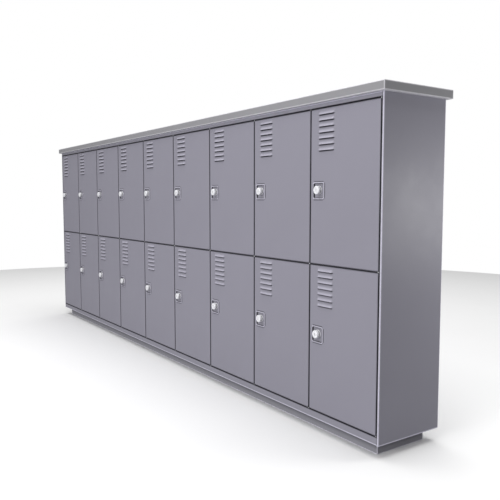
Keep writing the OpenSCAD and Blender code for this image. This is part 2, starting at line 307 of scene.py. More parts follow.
def tray(bm, us, vs, levels, place, holes=(), lift=None, corner_wear_and_light=0.0, face_wear_and_light=1.0):
    """A folded tray: a face on the grid us by vs, then a ring for each (inset, depth, wear_and_light) of
    levels.

    The outline starts at 0, 0, and the grid starts one fold inside it. lift(u, v) gives how far a point of
    the face stands out and its wear and painted light value, and face_wear_and_light is that value along the
    face's rim. Faces with their middle in a hole, a pair of corners, are left out."""
    width, height = us[0] + us[-1], vs[0] + vs[-1]
    fold = us[0] + 0.1 * MM

    def add_face(*corners):
        middle = sum((corner.co for corner in corners), Vector()) / len(corners)
        if not any(all(low[k] < middle[k] < high[k] for k in range(3)) for low, high in holes):
            bm.faces.new(corners)

    grid = []
    outline = {}
    for v in vs:
        row_lifts = [lift(u, v) if lift else (0.0, 0.0) for u in us]
        rims = [min(u, v, width - u, height - v) < fold for u in us]
        wear_and_light_values = [face_wear_and_light if rim else wear_and_light for rim, (_, wear_and_light) in zip(rims, row_lifts)]
        row = add_ring(bm, [place(u, v, -out) for u, (out, _) in zip(us, row_lifts)], wear_and_light_values)
        for u, vert in zip(us, row):
            outline[vert] = (0 if u < fold else width if width - u < fold else u,
                             0 if v < fold else height if height - v < fold else v)
        grid.append(row)
    for low_row, high_row in zip(grid, grid[1:]):
        for i in range(len(us) - 1):
            add_face(low_row[i], low_row[i + 1], high_row[i + 1], high_row[i])
    near = grid[0] + [row[-1] for row in grid[1:]] + grid[-1][-2::-1] + [row[0] for row in grid[-2:0:-1]]
    rim = [outline[vert] for vert in near]
    for inset, depth, wear_and_light in levels:
        points = [place(min(max(u, inset), width - inset), min(max(v, inset), height - inset), depth)
                  for u, v in rim]
        corners = [u in (0, width) and v in (0, height) for u, v in rim]
        far = add_ring(bm, points, [corner_wear_and_light if corner and corner_wear_and_light else wear_and_light for corner in corners])
        for i in range(len(near)):
            j = (i + 1) % len(near)
            add_face(near[i], far[i], far[j], near[j])
        near = far


def fold_levels(radius, depth, lip=0.0):
    """Rings from a face round a fold and down a side, then round a second fold onto a lip if there is one.
    The folds are paler, partly worn film and partly a painted highlight.
    """
    levels = []
    for turn in (30, 60, 90):
        a = math.radians(turn)
        levels.append((radius * (1 - math.sin(a)), radius * (1 - math.cos(a)), 1.0))
    levels.append((0.0, radius + FADE, 0.0))
    if not lip:
        return levels + [(0.0, depth, 0.0)]
    levels.append((0.0, depth - radius - FADE, 0.0))
    for turn in (0, 30, 60, 90):
        a = math.radians(turn)
        levels.append((radius * (1 - math.cos(a)), depth - radius * (1 - math.sin(a)), 0.8))
    return levels + [(radius + FADE, depth, 0.0), (lip, depth, 0.0)]


def door_levels():
    """A door's rings: painted shade round the front fold and inside the gap, then the side, back fold and
    lip.
    """
    plain = fold_levels(DOOR_FOLD, DOOR_DEPTH, DOOR_LIP)
    front = [(inset, depth, painted_shade) for (inset, depth, _), painted_shade in zip(plain, DOOR_FOLD_PAINTED_SHADE)]
    side = [(0.0, depth, painted_shade) for depth, painted_shade in DOOR_SIDE_PAINTED_SHADE]
    return front + side + [level for level in plain if level[1] > DOOR_DEPTH - DOOR_FOLD - MM]


def section(corners, radii, closed=False, gaps=(), painted_shade=GAP_PAINTED_SHADE):
    """Points (a, b, wear) along a sheet's section, with an arc at each corner and the outside on the right.

    gaps says which corners stand beside a gap, and so get painted shade: -1 on the side before the arc, 1 on
    that after it. The arcs of other corners are paler, partly worn film and partly a painted highlight."""
    points = []
    count = len(corners)
    spots = [Vector(corner) for corner in corners]
    for i, here in enumerate(spots):
        if not closed and i in (0, count - 1):
            points.append((here.x, here.y, 0.0))
            continue
        radius = radii[i]
        back, on = spots[i - 1] - here, spots[(i + 1) % count] - here
        fades = [min(FADE, 0.45 * (side.length - radius - other))
                 for side, other in ((back, radii[i - 1]), (on, radii[(i + 1) % count]))]
        back.normalize()
        on.normalize()
        gap = gaps[i] if gaps else 0
        shaded = [(radius + away, wear_and_light) for away, wear_and_light in painted_shade]
        flats = [(radius + fade, 0.0 if gap or fade > 0.9 * FADE else 0.8) for fade in fades]
        before = flats[:1] if gap >= 0 else shaded
        after = flats[1:] if gap <= 0 else shaded[::-1]
        for away, wear_and_light in before:
            point = here + back * away
            points.append((point.x, point.y, wear_and_light))
        centre = here + (back + on) * radius
        for step in range(ARC_STEPS + 1):
            share = step / ARC_STEPS
            a = math.pi / 2 * share
            point = centre - on * radius * math.cos(a) - back * radius * math.sin(a)
            # Painted shade on an arc beside a gap; elsewhere a paler arc, partly worn film and partly a
            # painted highlight.
            inside = 1 - share if gap < 0 else share
            points.append((point.x, point.y, -0.3 - 0.7 * inside if gap else 1.0))
        for away, wear_and_light in after:
            point = here + on * away
            points.append((point.x, point.y, wear_and_light))
    return points


def draw_out(bm, points, stops, place, closed=False):
    """A section drawn along a line through stops: pairs of a place and the least wear_and_light value of the
    sheet there.
    """
    rings = []
    for t, least in stops:
        wear_and_light_values = [max(wear_and_light, least) for _, _, wear_and_light in points]
        rings.append(add_ring(bm, [place(a, b, t) for a, b, _ in points], wear_and_light_values))
    for near, far in zip(rings, rings[1:]):
        bridge(bm, far, near, closed=closed)


def plain_ends(low, high):
    return (low, -1.0), (high, -1.0)


def rounded_outline(width, height, radius, steps=6):
    """Points (x, z) round a rectangle with round corners, anticlockwise seen from the front."""
    points = []
    for corner, (sx, sz) in enumerate(((1, 1), (-1, 1), (-1, -1), (1, -1))):
        for i in range(steps + 1):
            turn = math.pi / 2 * (corner + i / steps)
            points.append((sx * (width / 2 - radius) + radius * math.cos(turn),
                           sz * (height / 2 - radius) + radius * math.sin(turn)))
    return points


def loft(bm, rings, slot=0, wear_and_light_values=None, capped=False):
    """Surfaces through rings of points, outermost at the front first, and a cap on the last."""
    made = [add_ring(bm, ring, [wear_and_light_values[i]] * len(ring) if wear_and_light_values else None) for i, ring in enumerate(rings)]
    for near, far in zip(made, made[1:]):
        bridge(bm, near, far, slot)
    if capped:
        bm.faces.new(made[-1]).material_index = slot
    return made


def round_turns(steps):
    return [2 * math.pi * i / steps for i in range(steps)]


def circle_ring(radius, depth, steps=48):
    """A circle round the Y axis, anticlockwise seen from the front."""
    return [(radius * math.cos(a), depth, radius * math.sin(a)) for a in round_turns(steps)]


def box_reach(a, half_w, half_h):
    """How far a rectangle's edge is from its middle, at the turn a."""
    return min(half_w / max(abs(math.cos(a)), 1e-9), half_h / max(abs(math.sin(a)), 1e-9))


def slot_ring(half_w, half_h, depth, steps=48):
    """A rectangle with as many points as a circle, each on the circle's own ray."""
    points = []
    for a in round_turns(steps):
        reach = box_reach(a, half_w, half_h)
        points.append((reach * math.cos(a), depth, reach * math.sin(a)))
    return points


def hexagon_ring(radius, depth, steps=24):
    """A hexagon with as many points as a circle."""
    points = []
    for a in round_turns(steps):
        reach = radius * math.cos(math.pi / 6) / math.cos((a % (math.pi / 3)) - math.pi / 6)
        points.append((reach * math.cos(a), depth, reach * math.sin(a)))
    return points


def rear_stud(x, y, z, rings):
    """Rings of (x, rise, z) points, turned to stand on a rear face at x, y, z."""
    return [[(x - px, y + rise, z + pz) for px, rise, pz in ring] for ring in rings]


# ---------------------------------------------------------------- materials

def shader(name):
    material = bpy.data.materials.new(name)
    material.use_nodes = True
    tree = material.node_tree
    return material, tree, tree.nodes["Principled BSDF"]


def add_node(tree, kind, **inputs):
    made = tree.nodes.new(kind)
    for key, value in inputs.items():
        made.inputs[key].default_value = value
    return made


def math_node(tree, operation, *values):
    made = tree.nodes.new("ShaderNodeMath")
    made.operation = operation
    for socket, value in zip(made.inputs, values):
        if isinstance(value, float):
            socket.default_value = value
        else:
            tree.links.new(value, socket)
    return made.outputs[0]


def noise(tree, scale, detail=2.0, roughness=0.5):
    """Noise laid out in metres on the object itself."""
    place = tree.nodes.new("ShaderNodeTexCoord")
    made = add_node(tree, "ShaderNodeTexNoise", Scale=scale, Detail=detail, Roughness=roughness)
    tree.links.new(place.outputs["Object"], made.inputs["Vector"])
    return made.outputs["Fac"]


def remap(tree, source, low, high, to_low=0.0, to_high=1.0):
    made = tree.nodes.new("ShaderNodeMapRange")
    for key, value in (("From Min", low), ("From Max", high), ("To Min", to_low), ("To Max", to_high)):
        made.inputs[key].default_value = value
    tree.links.new(source, made.inputs["Value"])
    return made.outputs["Result"]


def mix_colour(tree, factor, first, second):
    made = tree.nodes.new("ShaderNodeMix")
    made.data_type = "RGBA"
    for socket, value in ((made.inputs[0], factor), (made.inputs[6], first), (made.inputs[7], second)):
        if isinstance(value, (tuple, float)):
            socket.default_value = value
        else:
            tree.links.new(value, socket)
    return made.outputs[2]


def add_bump(tree, bsdf, height, strength, distance):
    made = add_node(tree, "ShaderNodeBump", Strength=strength, Distance=distance)
    tree.links.new(height, made.inputs["Height"])
    tree.links.new(made.outputs["Normal"], bsdf.inputs["Normal"])


def wear_and_shade_masks(tree):
    """How pale the surface is, from 0 to 1 on folds, corners and raised edges, partly worn film and partly a
    painted highlight, and how much painted shade it has, from 0 to 1 in gaps and under overhangs and hoods.
    """
    made = tree.nodes.new("ShaderNodeAttribute")
    made.attribute_name = WEAR_AND_LIGHT
    return remap(tree, made.outputs["Fac"], 0.0, 1.0), remap(tree, made.outputs["Fac"], 0.0, -1.0)


def tint(colour, gain):
    return tuple(min(1.0, c * gain) for c in colour[:3]) + (1.0,)


def powder_coat(name, colour, edge_gain=2.4, shine=0.42):
    """Satin powder coat with mottling, orange peel, paler folds where the film is thin, partly a painted
    highlight, and painted shade in gaps and under overhangs.
    """
    material, tree, bsdf = shader(name)
    clouds = remap(tree, noise(tree, 2.2, 3.0), 0.3, 0.7)
    fleck = remap(tree, noise(tree, 900.0), 0.35, 0.65)
    base = mix_colour(tree, clouds, tint(colour, 0.965), tint(colour, 1.035))
    grain = mix_colour(tree, fleck, tint(colour, 0.965), tint(colour, 1.035))
    film = mix_colour(tree, 0.4, base, grain)
    patches = remap(tree, noise(tree, 60.0, 4.0, 0.6), 0.25, 0.6, 0.75, 1.0)
    light, painted_shade = wear_and_shade_masks(tree)
    edge = mix_colour(tree, math_node(tree, "MULTIPLY", light, patches), film, tint(colour, edge_gain))
    tree.links.new(mix_colour(tree, painted_shade, edge, PAINTED_SHADE_COLOUR), bsdf.inputs["Base Color"])
    smears = remap(tree, noise(tree, 7.0, 4.0, 0.6), 0.3, 0.7, shine - 0.04, shine + 0.05)
    tree.links.new(smears, bsdf.inputs["Roughness"])
    bsdf.inputs["Specular IOR Level"].default_value = 0.35
    add_bump(tree, bsdf, noise(tree, 420.0, 2.0, 0.4), 0.12, 0.0004)
    return material


def satin_nickel(name):
    """Pale satin plating on the lock's front, with fine turned rings about the cylinder's axis."""
    material, tree, bsdf = shader(name)
    place = tree.nodes.new("ShaderNodeTexCoord")
    axes = tree.nodes.new("ShaderNodeSeparateXYZ")
    tree.links.new(place.outputs["Object"], axes.inputs[0])
    squares = [math_node(tree, "POWER", axes.outputs[axis], 2.0) for axis in ("X", "Z")]
    radius = math_node(tree, "SQRT", math_node(tree, "ADD", *squares))
    rings = add_node(tree, "ShaderNodeTexNoise", Scale=2600.0, Detail=2.0)
    rings.noise_dimensions = "1D"
    tree.links.new(radius, rings.inputs["W"])
    colour = mix_colour(tree, rings.outputs["Fac"], (0.9, 0.9, 0.94, 1), (0.98, 0.98, 1.0, 1))
    tree.links.new(colour, bsdf.inputs["Base Color"])
    bsdf.inputs["Metallic"].default_value = 0.1
    tree.links.new(remap(tree, rings.outputs["Fac"], 0.2, 0.8, 0.22, 0.32), bsdf.inputs["Roughness"])
    add_bump(tree, bsdf, rings.outputs["Fac"], 0.15, 0.0001)
    return material


def zinc_plate(name):
    """Dull zinc plating with a crystalline mottle, for cams, nuts, pins and screws."""
    material, tree, bsdf = shader(name)
    place = tree.nodes.new("ShaderNodeTexCoord")
    cells = add_node(tree, "ShaderNodeTexVoronoi", Scale=260.0)
    tree.links.new(place.outputs["Object"], cells.inputs["Vector"])
    colour = mix_colour(tree, cells.outputs["Distance"], (0.5, 0.5, 0.52, 1), (0.66, 0.66, 0.68, 1))
    tree.links.new(colour, bsdf.inputs["Base Color"])
    bsdf.inputs["Metallic"].default_value = 0.95
    tree.links.new(remap(tree, noise(tree, 300.0, 3.0), 0.3, 0.7, 0.32, 0.5), bsdf.inputs["Roughness"])
    add_bump(tree, bsdf, noise(tree, 700.0), 0.1, 0.0002)
    return material


def moulded_plastic(name, colour, rough=0.55):
    """Moulded housing with a fine spark-eroded grain and rubbed edges."""
    material, tree, bsdf = shader(name)
    clouds = noise(tree, 30.0, 3.0)
    base = mix_colour(tree, remap(tree, clouds, 0.3, 0.7), tint(colour, 0.9), tint(colour, 1.1))
    tree.links.new(mix_colour(tree, wear_and_shade_masks(tree)[0], base, tint(colour, 1.6)), bsdf.inputs["Base Color"])
    tree.links.new(remap(tree, clouds, 0.3, 0.7, rough - 0.05, rough + 0.07), bsdf.inputs["Roughness"])
    add_bump(tree, bsdf, noise(tree, 1500.0), 0.2, 0.0002)
    return material


def pale_floor(name):
    """Pale vinyl floor. It throws back only part of the light, so as not to flood the cabinet from below."""
    material, tree, bsdf = shader(name)
    path = tree.nodes.new("ShaderNodeLightPath")
    clouds = mix_colour(tree, noise(tree, 1.3, 3.0), (0.94, 0.94, 0.94, 1), (0.97, 0.97, 0.97, 1))
    colour = mix_colour(tree, path.outputs["Is Camera Ray"], (0.45, 0.45, 0.47, 1), clouds)
    tree.links.new(colour, bsdf.inputs["Base Color"])
    bsdf.inputs["Roughness"].default_value = 0.7
    bsdf.inputs["Specular IOR Level"].default_value = 0.2
    return material


# Near-black colour for painted shade in gaps, crevices and under overhangs and hoods.
PAINTED_SHADE_COLOUR = (0.012, 0.012, 0.018, 1)
DOOR_PAINT = powder_coat("door_paint", (0.292, 0.283, 0.335))
BODY_PAINT = powder_coat("carcass_paint", (0.286, 0.279, 0.325))
INNER_PAINT = powder_coat("inner_paint", (0.22, 0.215, 0.25))
# The front frame, seen through the door gaps, painted dark: painted shade
FRAME_PAINTED_SHADE = powder_coat("front_frame_painted_shade", (0.13, 0.127, 0.15))
TOP_PAINT = powder_coat("worktop_paint", (0.3, 0.297, 0.312))
PLINTH_PAINT = powder_coat("plinth_paint", (0.34, 0.336, 0.372))
PLATE_PAINT = powder_coat("lock_plate_paint", (0.285, 0.277, 0.325))
NICKEL = satin_nickel("lock_nickel")
ZINC = zinc_plate("zinc_plate")
CASE_PLASTIC = moulded_plastic("coin_case_plastic", (0.055, 0.056, 0.062))
# Near-black for painted shade in the key slot, the coin slot and the lock's neck
SLOT_PAINTED_SHADE = moulded_plastic("slot_painted_shade", (0.012, 0.012, 0.013), rough=0.7)


# ---------------------------------------------------------------- doors

def hood_share(above):
    """Share of the full stand-out at a share of the hood's height above its lip."""
    for (low, start), (high, end) in zip(HOOD_CURVE, HOOD_CURVE[1:]):
        if above <= high + TINY:
            return start + (end - start) * (above - low) / (high - low)
    return 0.0


def door_mesh(name, width, height, lock_u, lock_v):
    """A folded door from its lower free corner, with its face at depth 0."""
    lips = [height - LOUVRE_DROP - i * LOUVRE_PITCH for i in range(LOUVRES)]
    left, right = LOUVRE_MIDDLE - LOUVRE_W / 2, LOUVRE_MIDDLE + LOUVRE_W / 2
    tapers = [HOOD_TAPER * share for share in TAPER_SHARES]
    half_w, half_h = (size / 2 - PLATE_RIM + PLATE_HOLE_GAP for size in (PLATE_W, PLATE_H))
    edges = (DOOR_FOLD, DOOR_FOLD + DOOR_FADE)
    foot_u = [PLATE_W / 2 + step for step in (-PLATE_CORNER, 0, PLATE_FOOT)]
    foot_v = [PLATE_H / 2 + step for step in (-PLATE_CORNER, 0, PLATE_FOOT)]
    us = lines([*edges, *(width - edge for edge in edges), width / 2, lock_u - half_w, lock_u + half_w]
               + [lock_u + side * foot for foot in foot_u for side in (-1, 1)]
               + [left + taper for taper in tapers] + [right - taper for taper in tapers])
    vs = lines([*edges, *(height - edge for edge in edges), lock_v - half_h, lock_v + half_h]
               + [lock_v + side * foot for foot in foot_v for side in (-1, 1)]
               + [lip - drop for lip in lips for drop in (SLOT_BELOW, SLOT_BELOW + LOUVRE_SHADE)]
               + [lip + share * HOOD_H for lip in lips for share, _ in HOOD_CURVE])
    near, far = -HOOD_OUT - MM, DOOR_FOLD
    holes = [(Vector((lock_u - half_w, near, lock_v - half_h)),
              Vector((lock_u + half_w, far, lock_v + half_h)))]
    holes += [(Vector((left + tapers[1], near, lip - SLOT_BELOW)), Vector((right - tapers[1], far, lip)))
              for lip in lips]

    def lift(u, v):
        across = smooth_step((u - left) / HOOD_TAPER) * smooth_step((right - u) / HOOD_TAPER)
        off_u, off_v = abs(u - lock_u) - PLATE_W / 2, abs(v - lock_v) - PLATE_H / 2
        # Painted shade on the door round the lock plate's foot
        if max(off_u, off_v) < TINY and min(off_u, off_v) < TINY - PLATE_CORNER:
            return 0.0, -1.0
        # A painted highlight up each hood and a painted shadow under each slot
        for lip in lips:
            if -TINY <= v - lip <= HOOD_H:
                share = hood_share((v - lip) / HOOD_H)
                return HOOD_OUT * across * share, HOOD_PAINTED_HIGHLIGHT * across * share
            if abs(lip - SLOT_BELOW - v) < TINY:
                return 0.0, LOUVRE_PAINTED_SHADOW * across
        return 0.0, 0.0

    skin = new_mesh()
    # Painted shade round the face's rim and in the gaps at its sides
    tray(skin, us, vs, door_levels(), lambda u, v, depth: Vector((u, depth, v)), holes, lift,
         face_wear_and_light=DOOR_RIM_PAINTED_SHADE)
    door = thicken(skin, DOOR_SHEET)

    x0, x1 = (width - STIFFENER_W) / 2, (width + STIFFENER_W) / 2
    channel = new_mesh()
    corners = ((x1, DOOR_SHEET), (x1, STIFFENER_DEPTH), (x0, STIFFENER_DEPTH), (x0, DOOR_SHEET))
    draw_out(channel, section(corners, (0, DOOR_FOLD, DOOR_FOLD, 0)),
             plain_ends(2 * DOOR_LIP, height - 2 * DOOR_LIP), lambda a, b, t: Vector((a, b, t)))
    copy_into(door, thicken(channel, DOOR_SHEET))
    for z in (DOOR_SHEET + BLOCK_GAP, height - DOOR_SHEET - BLOCK_GAP - BLOCK_T):
        add_hinge_block(door, width - PIVOT_IN, z)
    return make_mesh(door, name, [DOOR_PAINT])


def add_hinge_block(bm, x, z):
    """A bored block in a door's corner, which turns on its pin."""
    ahead, behind = PIVOT_BACK - BLOCK_FRONT, BLOCK_BACK - PIVOT_BACK
    outer, bore = [], []
    for a in round_turns(32):
        c, s = math.cos(a), math.sin(a)
        reach = box_reach(a, BLOCK_HALF, behind if s > 0 else ahead)
        outer.append((reach * c, reach * s))
        bore.append((PIVOT_BORE * c, PIVOT_BORE * s))
    rings = []
    for loop, level in ((bore, z), (outer, z), (outer, z + BLOCK_T), (bore, z + BLOCK_T), (bore, z)):
        rings.append(add_ring(bm, [(x + p, PIVOT_BACK + q, level) for p, q in loop]))
    for near, far in zip(rings, rings[1:]):
        bridge(bm, far, near)


# ---------------------------------------------------------------- coin locks

def plate_ring(width, height, radius, depth):
    return [(x, depth, z) for x, z in rounded_outline(width, height, radius)]


def add_front_plate(bm):
    """The recessed plate set through the door: a raised bead, a dished recess and the spindle's hole."""
    inner_w, inner_h = PLATE_W - 2 * PLATE_RIM, PLATE_H - 2 * PLATE_RIM
    bead = []
    steps = 8
    for i in range(steps + 1):
        a = math.pi * i / steps
        inset = PLATE_RIM / 2 * (1 - math.cos(a))
        corner = PLATE_CORNER - inset * (PLATE_CORNER - RECESS_CORNER) / PLATE_RIM
        bead.append(plate_ring(PLATE_W - 2 * inset, PLATE_H - 2 * inset, corner, -PLATE_OUT * math.sin(a)))
    floor_w, floor_h = inner_w - 3 * MM, inner_h - 3 * MM
    floor = plate_ring(floor_w - 5 * MM, floor_h - 5 * MM, RECESS_CORNER - 3 * MM, RECESS_DEPTH)
    hole = []
    for x, _, z in floor:
        reach = (SPINDLE_R + 0.1 * MM) / math.hypot(x, z - CYLINDER_RISE)
        hole.append((x * reach, (z - CYLINDER_RISE) * reach + CYLINDER_RISE))
    rings = bead + [plate_ring(inner_w - 0.6 * MM, inner_h - 0.6 * MM, RECESS_CORNER, MM),
                    plate_ring(floor_w + MM, floor_h + MM, RECESS_CORNER - MM, RECESS_DEPTH - 1.6 * MM),
                    plate_ring(floor_w - MM, floor_h - MM, RECESS_CORNER - 2 * MM, RECESS_DEPTH - 0.3 * MM),
                    floor,
                    [(x, RECESS_DEPTH, z) for x, z in hole],
                    [(x, PLATE_BACK, z) for x, z in hole],
                    plate_ring(inner_w, inner_h, RECESS_CORNER, PLATE_BACK),
                    plate_ring(inner_w, inner_h, RECESS_CORNER, 0),
                    plate_ring(PLATE_W, PLATE_H, PLATE_CORNER, 0)]
    # Painted shade at the bead's feet and down into the recess, and a painted highlight along its crest
    wear_and_light_values = [-1.0, -0.8, 0.2, 0.6, 0.7, 0.6, 0.2, -0.8, -1.0, -0.8, -0.4, -0.2] + [0.0] * 6
    loft(bm, rings, wear_and_light_values=wear_and_light_values)


def add_case(bm):
    """The coin case behind the door: a tub open towards the sheet, with its cam slot, cup and coin slot."""
    width, depth, height = CASE_HIGH - CASE_LOW
    cup_hole = (CUP_LOW, CUP_HIGH + Vector((0, MM, 0)))
    slot_half = Vector((COIN_SLOT_W / 2, 3 * MM, COIN_SLOT_L / 2))
    slot_hole = (COIN_SLOT - slot_half, COIN_SLOT + slot_half)
    us = lines([CASE_FOLD, width - CASE_FOLD]
               + [CASE_HIGH.x - x for x in (CUP_LOW.x, CUP_HIGH.x, slot_hole[0].x, slot_hole[1].x)])
    vs = lines([CASE_FOLD, height - CASE_FOLD]
               + [z - CASE_LOW.z for z in (CUP_LOW.z, CUP_HIGH.z, CAM_SLOT[0].z, CAM_SLOT[1].z,
                                           slot_hole[0].z, slot_hole[1].z)])
    levels = fold_levels(CASE_FOLD, depth)
    levels[-1:] = [(0.0, CASE_HIGH.y - CAM_SLOT[1].y, 0.0), (0.0, CASE_HIGH.y - CAM_SLOT[0].y, 0.0),
                   (0.0, depth, 0.0)]
    tub = new_mesh()
    tray(tub, us, vs, levels, lambda u, v, d: Vector((CASE_HIGH.x - u, CASE_HIGH.y - d, CASE_LOW.z + v)),
         (cup_hole, slot_hole, CAM_SLOT))
    copy_into(bm, thicken(tub, CASE_WALL), 1)
    add_return_cup(bm)
    add_coin_slot(bm)
    for x in (CASE_LOW.x + SCREW_IN, CASE_HIGH.x - SCREW_IN):
        for z in (CASE_LOW.z + SCREW_IN, CASE_HIGH.z - SCREW_IN):
            add_screw(bm, x, CASE_HIGH.y, z)


def rear_ring(centre, width, height, radius, rise):
    """A rounded rectangle on the case's back, anticlockwise seen from behind."""
    y = CASE_HIGH.y + rise
    return [(centre.x - x, y, centre.z + z) for x, z in rounded_outline(width, height, radius)]


def add_return_cup(bm):
    """The coin return: a raised surround and a scooped pocket."""
    centre = (CUP_LOW + CUP_HIGH) / 2
    width, depth, height = CUP_HIGH - CUP_LOW
    rings = [rear_ring(centre, width + 7 * MM, height + 7 * MM, 4 * MM, -0.1 * MM),
             rear_ring(centre, width + 7 * MM, height + 7 * MM, 4 * MM, 0.7 * MM),
             rear_ring(centre, width + 5.6 * MM, height + 5.6 * MM, 3.4 * MM, 1.2 * MM),
             rear_ring(centre, width, height, 3 * MM, 1.2 * MM),
             rear_ring(centre, width - 1.2 * MM, height - 1.2 * MM, 3 * MM, 0.5 * MM),
             rear_ring(centre, width - 3 * MM, height - 3 * MM, 4 * MM, 7 * MM - depth),
             rear_ring(centre, width - 8 * MM, height - 7 * MM, 4 * MM, 2 * MM - depth),
             rear_ring(centre, width - 16 * MM, height - 13 * MM, 3 * MM, 1 * MM - depth)]
    loft(bm, rings, slot=1, wear_and_light_values=[0, 0.5, 0.7, 0.3, 0.8, 0, 0, 0], capped=True)


def add_coin_slot(bm):
    """A plated guide round the coin slot."""
    outer_w, outer_h = COIN_SLOT_W + 9 * MM, COIN_SLOT_L + 12 * MM
    inner_w, inner_h = COIN_SLOT_W - 0.2 * MM, COIN_SLOT_L - 0.2 * MM
    rings = [rear_ring(COIN_SLOT, outer_w, outer_h, 2 * MM, -0.1 * MM),
             rear_ring(COIN_SLOT, outer_w, outer_h, 2 * MM, 0.6 * MM),
             rear_ring(COIN_SLOT, outer_w - MM, outer_h - MM, 1.6 * MM, MM),
             rear_ring(COIN_SLOT, COIN_SLOT_W + MM, COIN_SLOT_L + MM, 1.4 * MM, MM),
             rear_ring(COIN_SLOT, inner_w, inner_h, 1.2 * MM, 0.4 * MM),
             rear_ring(COIN_SLOT, inner_w, inner_h, 1.2 * MM, -3 * MM)]
    loft(bm, rings[:5], slot=2)
    # The slot's inside in near-black: painted shade
    loft(bm, rings[4:], slot=3, capped=True)


def add_screw(bm, x, y, z):
    """A pan-head screw with a hexagon socket, its head towards the rear."""
    head = [circle_ring(radius * MM, rise * MM, 24) for radius, rise in SCREW_PROFILE]
    socket = [hexagon_ring(SCREW_SOCKET_R * MM, rise * MM, 24) for rise in SCREW_SOCKET]
    loft(bm, rear_stud(x, y, z, head + socket), slot=2, capped=True)


def coin_lock_mesh():
    bm = new_mesh()
    add_front_plate(bm)
    add_case(bm)
    return make_mesh(bm, "coin_lock", [PLATE_PAINT, CASE_PLASTIC, ZINC, SLOT_PAINTED_SHADE], sharp=30)


# ---------------------------------------------------------------- lock cylinders

def cylinder_mesh():
    """Round front with its key slot, neck and base, then the spindle, cam and nut, about the Y axis."""
    bm = new_mesh()
    face = -KNOB_OUT
    front = [circle_ring(radius * MM, face + depth * MM) for radius, depth in KNOB_FRONT]
    edge, neck, base = ([circle_ring(radius * MM, depth * MM) for radius, depth in profile]
                        for profile in (KNOB_EDGE, KNOB_NECK, KNOB_BASE))
    made = loft(bm, front + edge)
    # The neck in near-black: painted shade
    loft(bm, neck, slot=2)
    loft(bm, base)
    flared = slot_ring(KEY_SLOT_HALF_W + KEY_SLOT_FLARE, KEY_SLOT_HALF_H + KEY_SLOT_FLARE, face)
    key_hole = [slot_ring(KEY_SLOT_HALF_W, KEY_SLOT_HALF_H, face + depth)
                for depth in (KEY_SLOT_LIP, KEY_SLOT_DEPTH)]
    key_rings = loft(bm, [flared, key_hole[0]])
    bridge(bm, made[0], key_rings[0])
    # The key slot's inside in near-black: painted shade
    loft(bm, key_hole, slot=2, capped=True)
    spindle = [circle_ring(SPINDLE_R, depth) for depth in (BASE_BACK, CAM_FRONT)]
    loft(bm, [circle_ring(BASE_R, BASE_BACK), spindle[0]])
    loft(bm, spindle, slot=1)
    add_cam(bm)
    add_nut(bm)
    bmesh.ops.remove_doubles(bm, verts=bm.verts[:], dist=MERGE)
    return make_mesh(bm, "lock_cylinder", [NICKEL, ZINC, SLOT_PAINTED_SHADE], sharp=25)


def add_cam(bm):
    """A flat cam that hangs from the spindle, with a round head and a round tip."""
    head, tip = CAM_HALF + MM, CAM_HALF
    turns = [math.pi * i / 16 for i in range(17)]
    points = [(head * math.cos(a), head * math.sin(a)) for a in turns]
    points += [(-tip * math.cos(a), tip - CAM_L - tip * math.sin(a)) for a in turns]
    soft = 0.4 * MM
    rings = []
    for inset, depth in ((soft, CAM_FRONT), (0.0, CAM_FRONT + soft),
                         (0.0, CAM_BACK - soft), (soft, CAM_BACK)):
        ring = []
        for x, z in points:
            middle = min(max(z, tip - CAM_L), 0.0)
            reach = math.hypot(x, z - middle)
            ring.append((x * (1 - inset / reach), depth, middle + (z - middle) * (1 - inset / reach)))
        rings.append(ring)
    made = loft(bm, rings, slot=1)
    bm.faces.new(made[0]).material_index = 1
    bm.faces.new(list(reversed(made[-1]))).material_index = 1


def add_nut(bm):
    """A hexagon nut with a chamfered back, and the spindle's end in it."""
    back = CAM_BACK + NUT_T
    rings = [hexagon_ring(NUT_R, CAM_BACK, 48), hexagon_ring(NUT_R, back - MM, 48)]
    rings += [circle_ring(radius * MM, back - depth * MM) for radius, depth in NUT_BACK]
    made = loft(bm, rings, slot=1)
    bm.faces.new(list(reversed(made[-1]))).material_index = 1


# ---------------------------------------------------------------- cabinet

def add_worktop():
    """Steel pan with a folded rim and bottom lip."""
    width, depth, height = TOP_HIGH - TOP_LOW
    edges = (WORKTOP_FOLD, WORKTOP_FOLD + FADE)
    us = lines([*edges, *(width - edge for edge in edges)])
    vs = lines([*edges, *(depth - edge for edge in edges)])
    pan = new_mesh()
    # Folds, corners and rim paler, partly worn film and partly a painted highlight
    tray(pan, us, vs, fold_levels(WORKTOP_FOLD, height, WORKTOP_LIP),
         lambda u, v, d: Vector((TOP_LOW.x + u, TOP_LOW.y + v, TOP_HIGH.z - d)),
         corner_wear_and_light=1.0, face_wear_and_light=0.3)
    mesh = make_mesh(thicken(pan, WORKTOP_SHEET), "worktop_pan", [TOP_PAINT])
    add_piece(mesh, "steel_worktop", "cabinet", "worktop")


